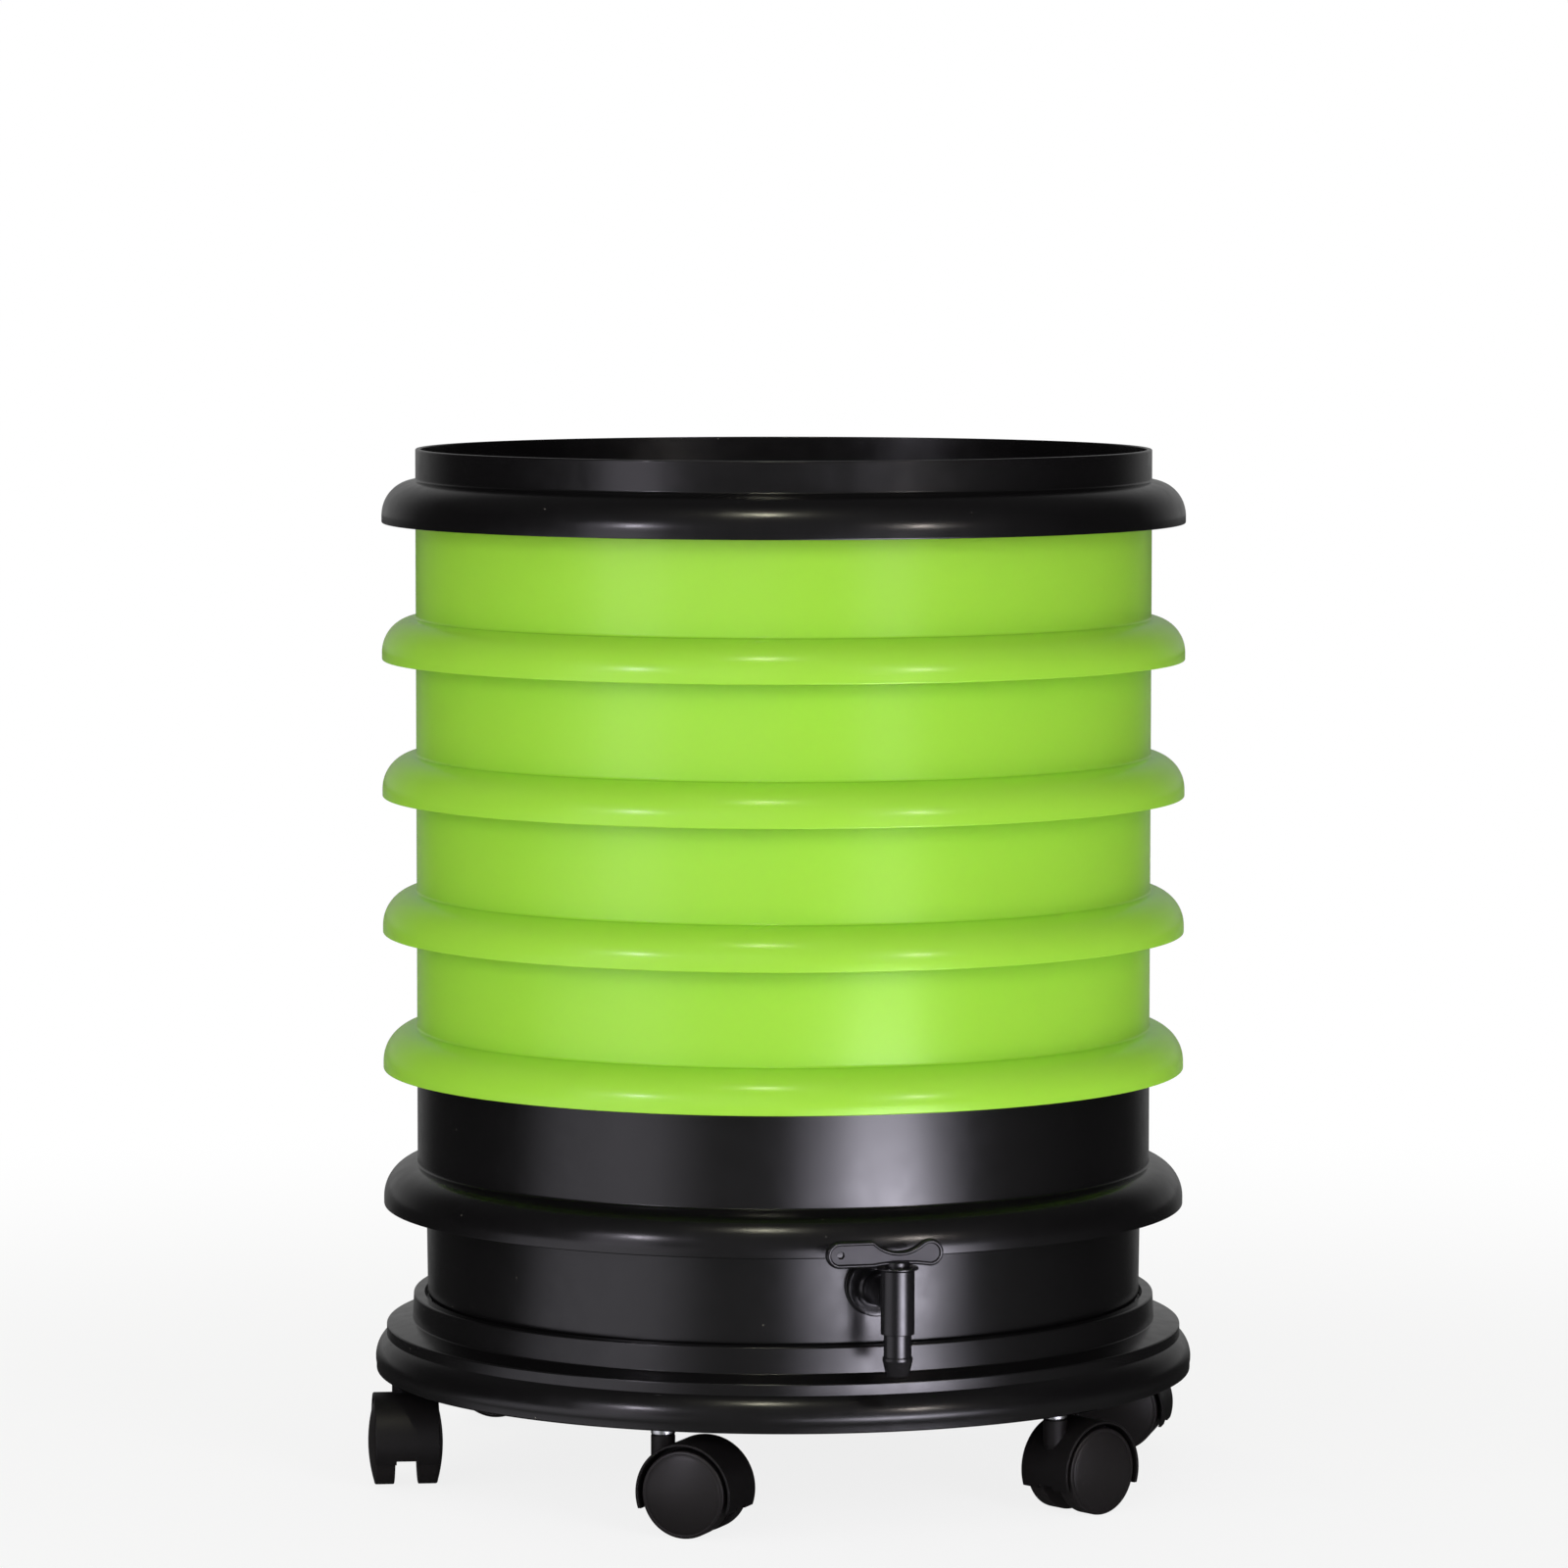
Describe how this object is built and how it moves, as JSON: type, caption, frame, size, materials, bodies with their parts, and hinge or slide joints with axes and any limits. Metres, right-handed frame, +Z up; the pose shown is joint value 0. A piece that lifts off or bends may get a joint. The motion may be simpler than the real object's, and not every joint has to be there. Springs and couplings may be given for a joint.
{
  "type": "stacking wormery on castors",
  "caption": "Round stacking wormery: flanged trays under a planter, a collector with a tap, and a castor dolly",
  "frame": {"origin": "on the floor under the middle of the stack", "axes": "+Z up, -Y towards the front, which the tap is on, +X to the right as seen from the front"},
  "size_m": [0.3943, 0.4366, 0.4907],
  "materials": {
    "black_body": "satin black moulded polypropylene",
    "green_tray": "satin lime green moulded polypropylene",
    "tap_plastic": "semi-gloss black moulded plastic",
    "washer_rubber": "soft matt black rubber",
    "castor_nylon": "fine-grained black nylon",
    "wheel_nylon": "fine-grained black nylon, smooth tread",
    "plated_steel": "bright zinc plate"
  },
  "bodies": {
    "dolly": {"castor_dolly": "black_body", "castor_stems": "plated_steel"},
    "collector": {"collector_base": "black_body", "tap_body": "tap_plastic", "tap_back_nut": "tap_plastic", "tap_outer_washer": "washer_rubber", "tap_inner_washer": "washer_rubber"},
    "tap_handle": {"tap_lever": "tap_plastic"},
    "tray_4": {"worm_tray_4": "green_tray"},
    "tray_3": {"worm_tray_3": "green_tray"},
    "tray_2": {"worm_tray_2": "green_tray"},
    "tray_1": {"worm_tray_1": "green_tray"},
    "planter": {"planter_tray": "black_body"},
    "castor_1": {"castor_hood_1": "castor_nylon", "castor_axle_1": "plated_steel"},
    "wheel_left_1": {"castor_wheel_left_1": "wheel_nylon"},
    "wheel_right_1": {"castor_wheel_right_1": "wheel_nylon"},
    "castor_2": {"castor_hood_2": "castor_nylon", "castor_axle_2": "plated_steel"},
    "wheel_left_2": {"castor_wheel_left_2": "wheel_nylon"},
    "wheel_right_2": {"castor_wheel_right_2": "wheel_nylon"},
    "castor_3": {"castor_hood_3": "castor_nylon", "castor_axle_3": "plated_steel"},
    "wheel_left_3": {"castor_wheel_left_3": "wheel_nylon"},
    "wheel_right_3": {"castor_wheel_right_3": "wheel_nylon"},
    "castor_4": {"castor_hood_4": "castor_nylon", "castor_axle_4": "plated_steel"},
    "wheel_left_4": {"castor_wheel_left_4": "wheel_nylon"},
    "wheel_right_4": {"castor_wheel_right_4": "wheel_nylon"},
    "castor_5": {"castor_hood_5": "castor_nylon", "castor_axle_5": "plated_steel"},
    "wheel_left_5": {"castor_wheel_left_5": "wheel_nylon"},
    "wheel_right_5": {"castor_wheel_right_5": "wheel_nylon"},
    "castor_6": {"castor_hood_6": "castor_nylon", "castor_axle_6": "plated_steel"},
    "wheel_left_6": {"castor_wheel_left_6": "wheel_nylon"},
    "wheel_right_6": {"castor_wheel_right_6": "wheel_nylon"}
  },
  "joints": [
    {"name": "collector_lift", "type": "slide", "parent": "dolly", "child": "collector", "axis": [0, 0, 1], "range_m": [0, 0.06]},
    {"name": "tray_4_lift", "type": "slide", "parent": "collector", "child": "tray_4", "axis": [0, 0, 1], "range_m": [0, 0.06]},
    {"name": "tray_3_lift", "type": "slide", "parent": "tray_4", "child": "tray_3", "axis": [0, 0, 1], "range_m": [0, 0.06]},
    {"name": "tray_2_lift", "type": "slide", "parent": "tray_3", "child": "tray_2", "axis": [0, 0, 1], "range_m": [0, 0.06]},
    {"name": "tray_1_lift", "type": "slide", "parent": "tray_2", "child": "tray_1", "axis": [0, 0, 1], "range_m": [0, 0.06]},
    {"name": "planter_lift", "type": "slide", "parent": "tray_1", "child": "planter", "axis": [0, 0, 1], "range_m": [0, 0.06]},
    {"name": "tap_turn", "type": "hinge", "parent": "collector", "child": "tap_handle", "pos_m": [0.05189, -0.20813, 0.112], "axis": [0, 0, 1], "range_deg": [0, 90]},
    {"name": "castor_swivel_1", "type": "hinge", "parent": "dolly", "child": "castor_1", "pos_m": [-0.055, -0.17768, 0.045], "axis": [0, 0, 1], "continuous": true},
    {"name": "wheel_spin_left_1", "type": "hinge", "parent": "castor_1", "child": "wheel_left_1", "pos_m": [-0.04012, -0.18382, 0.02025], "axis": [0.3811, 0.9245, 0], "continuous": true},
    {"name": "wheel_spin_right_1", "type": "hinge", "parent": "castor_1", "child": "wheel_right_1", "pos_m": [-0.04012, -0.18382, 0.02025], "axis": [0.3811, 0.9245, 0], "continuous": true},
    {"name": "castor_swivel_2", "type": "hinge", "parent": "dolly", "child": "castor_2", "pos_m": [0.12638, -0.13647, 0.045], "axis": [0, 0, 1], "continuous": true},
    {"name": "wheel_spin_left_2", "type": "hinge", "parent": "castor_2", "child": "wheel_left_2", "pos_m": [0.13843, -0.12581, 0.02025], "axis": [-0.6626, 0.749, 0], "continuous": true},
    {"name": "wheel_spin_right_2", "type": "hinge", "parent": "castor_2", "child": "wheel_right_2", "pos_m": [0.13843, -0.12581, 0.02025], "axis": [-0.6626, 0.749, 0], "continuous": true},
    {"name": "castor_swivel_3", "type": "hinge", "parent": "dolly", "child": "castor_3", "pos_m": [0.18138, 0.04121, 0.045], "axis": [0, 0, 1], "continuous": true},
    {"name": "wheel_spin_left_3", "type": "hinge", "parent": "castor_3", "child": "wheel_left_3", "pos_m": [0.16563, 0.04455, 0.02025], "axis": [-0.2079, -0.9781, 0], "continuous": true},
    {"name": "wheel_spin_right_3", "type": "hinge", "parent": "castor_3", "child": "wheel_right_3", "pos_m": [0.16563, 0.04455, 0.02025], "axis": [-0.2079, -0.9781, 0], "continuous": true},
    {"name": "castor_swivel_4", "type": "hinge", "parent": "dolly", "child": "castor_4", "pos_m": [0.055, 0.17768, 0.045], "axis": [0, 0, 1], "continuous": true},
    {"name": "wheel_spin_left_4", "type": "hinge", "parent": "castor_4", "child": "wheel_left_4", "pos_m": [0.04465, 0.19001, 0.02025], "axis": [-0.766, -0.6428, 0], "continuous": true},
    {"name": "wheel_spin_right_4", "type": "hinge", "parent": "castor_4", "child": "wheel_right_4", "pos_m": [0.04465, 0.19001, 0.02025], "axis": [-0.766, -0.6428, 0], "continuous": true},
    {"name": "castor_swivel_5", "type": "hinge", "parent": "dolly", "child": "castor_5", "pos_m": [-0.12638, 0.13647, 0.045], "axis": [0, 0, 1], "continuous": true},
    {"name": "wheel_spin_left_5", "type": "hinge", "parent": "castor_5", "child": "wheel_left_5", "pos_m": [-0.14223, 0.13927, 0.02025], "axis": [-0.1736, -0.9848, 0], "continuous": true},
    {"name": "wheel_spin_right_5", "type": "hinge", "parent": "castor_5", "child": "wheel_right_5", "pos_m": [-0.14223, 0.13927, 0.02025], "axis": [-0.1736, -0.9848, 0], "continuous": true},
    {"name": "castor_swivel_6", "type": "hinge", "parent": "dolly", "child": "castor_6", "pos_m": [-0.18138, -0.04121, 0.045], "axis": [0, 0, 1], "continuous": true},
    {"name": "wheel_spin_left_6", "type": "hinge", "parent": "castor_6", "child": "wheel_left_6", "pos_m": [-0.17969, -0.05722, 0.02025], "axis": [0.9945, 0.1045, 0], "continuous": true},
    {"name": "wheel_spin_right_6", "type": "hinge", "parent": "castor_6", "child": "wheel_right_6", "pos_m": [-0.17969, -0.05722, 0.02025], "axis": [0.9945, 0.1045, 0], "continuous": true}
  ]
}
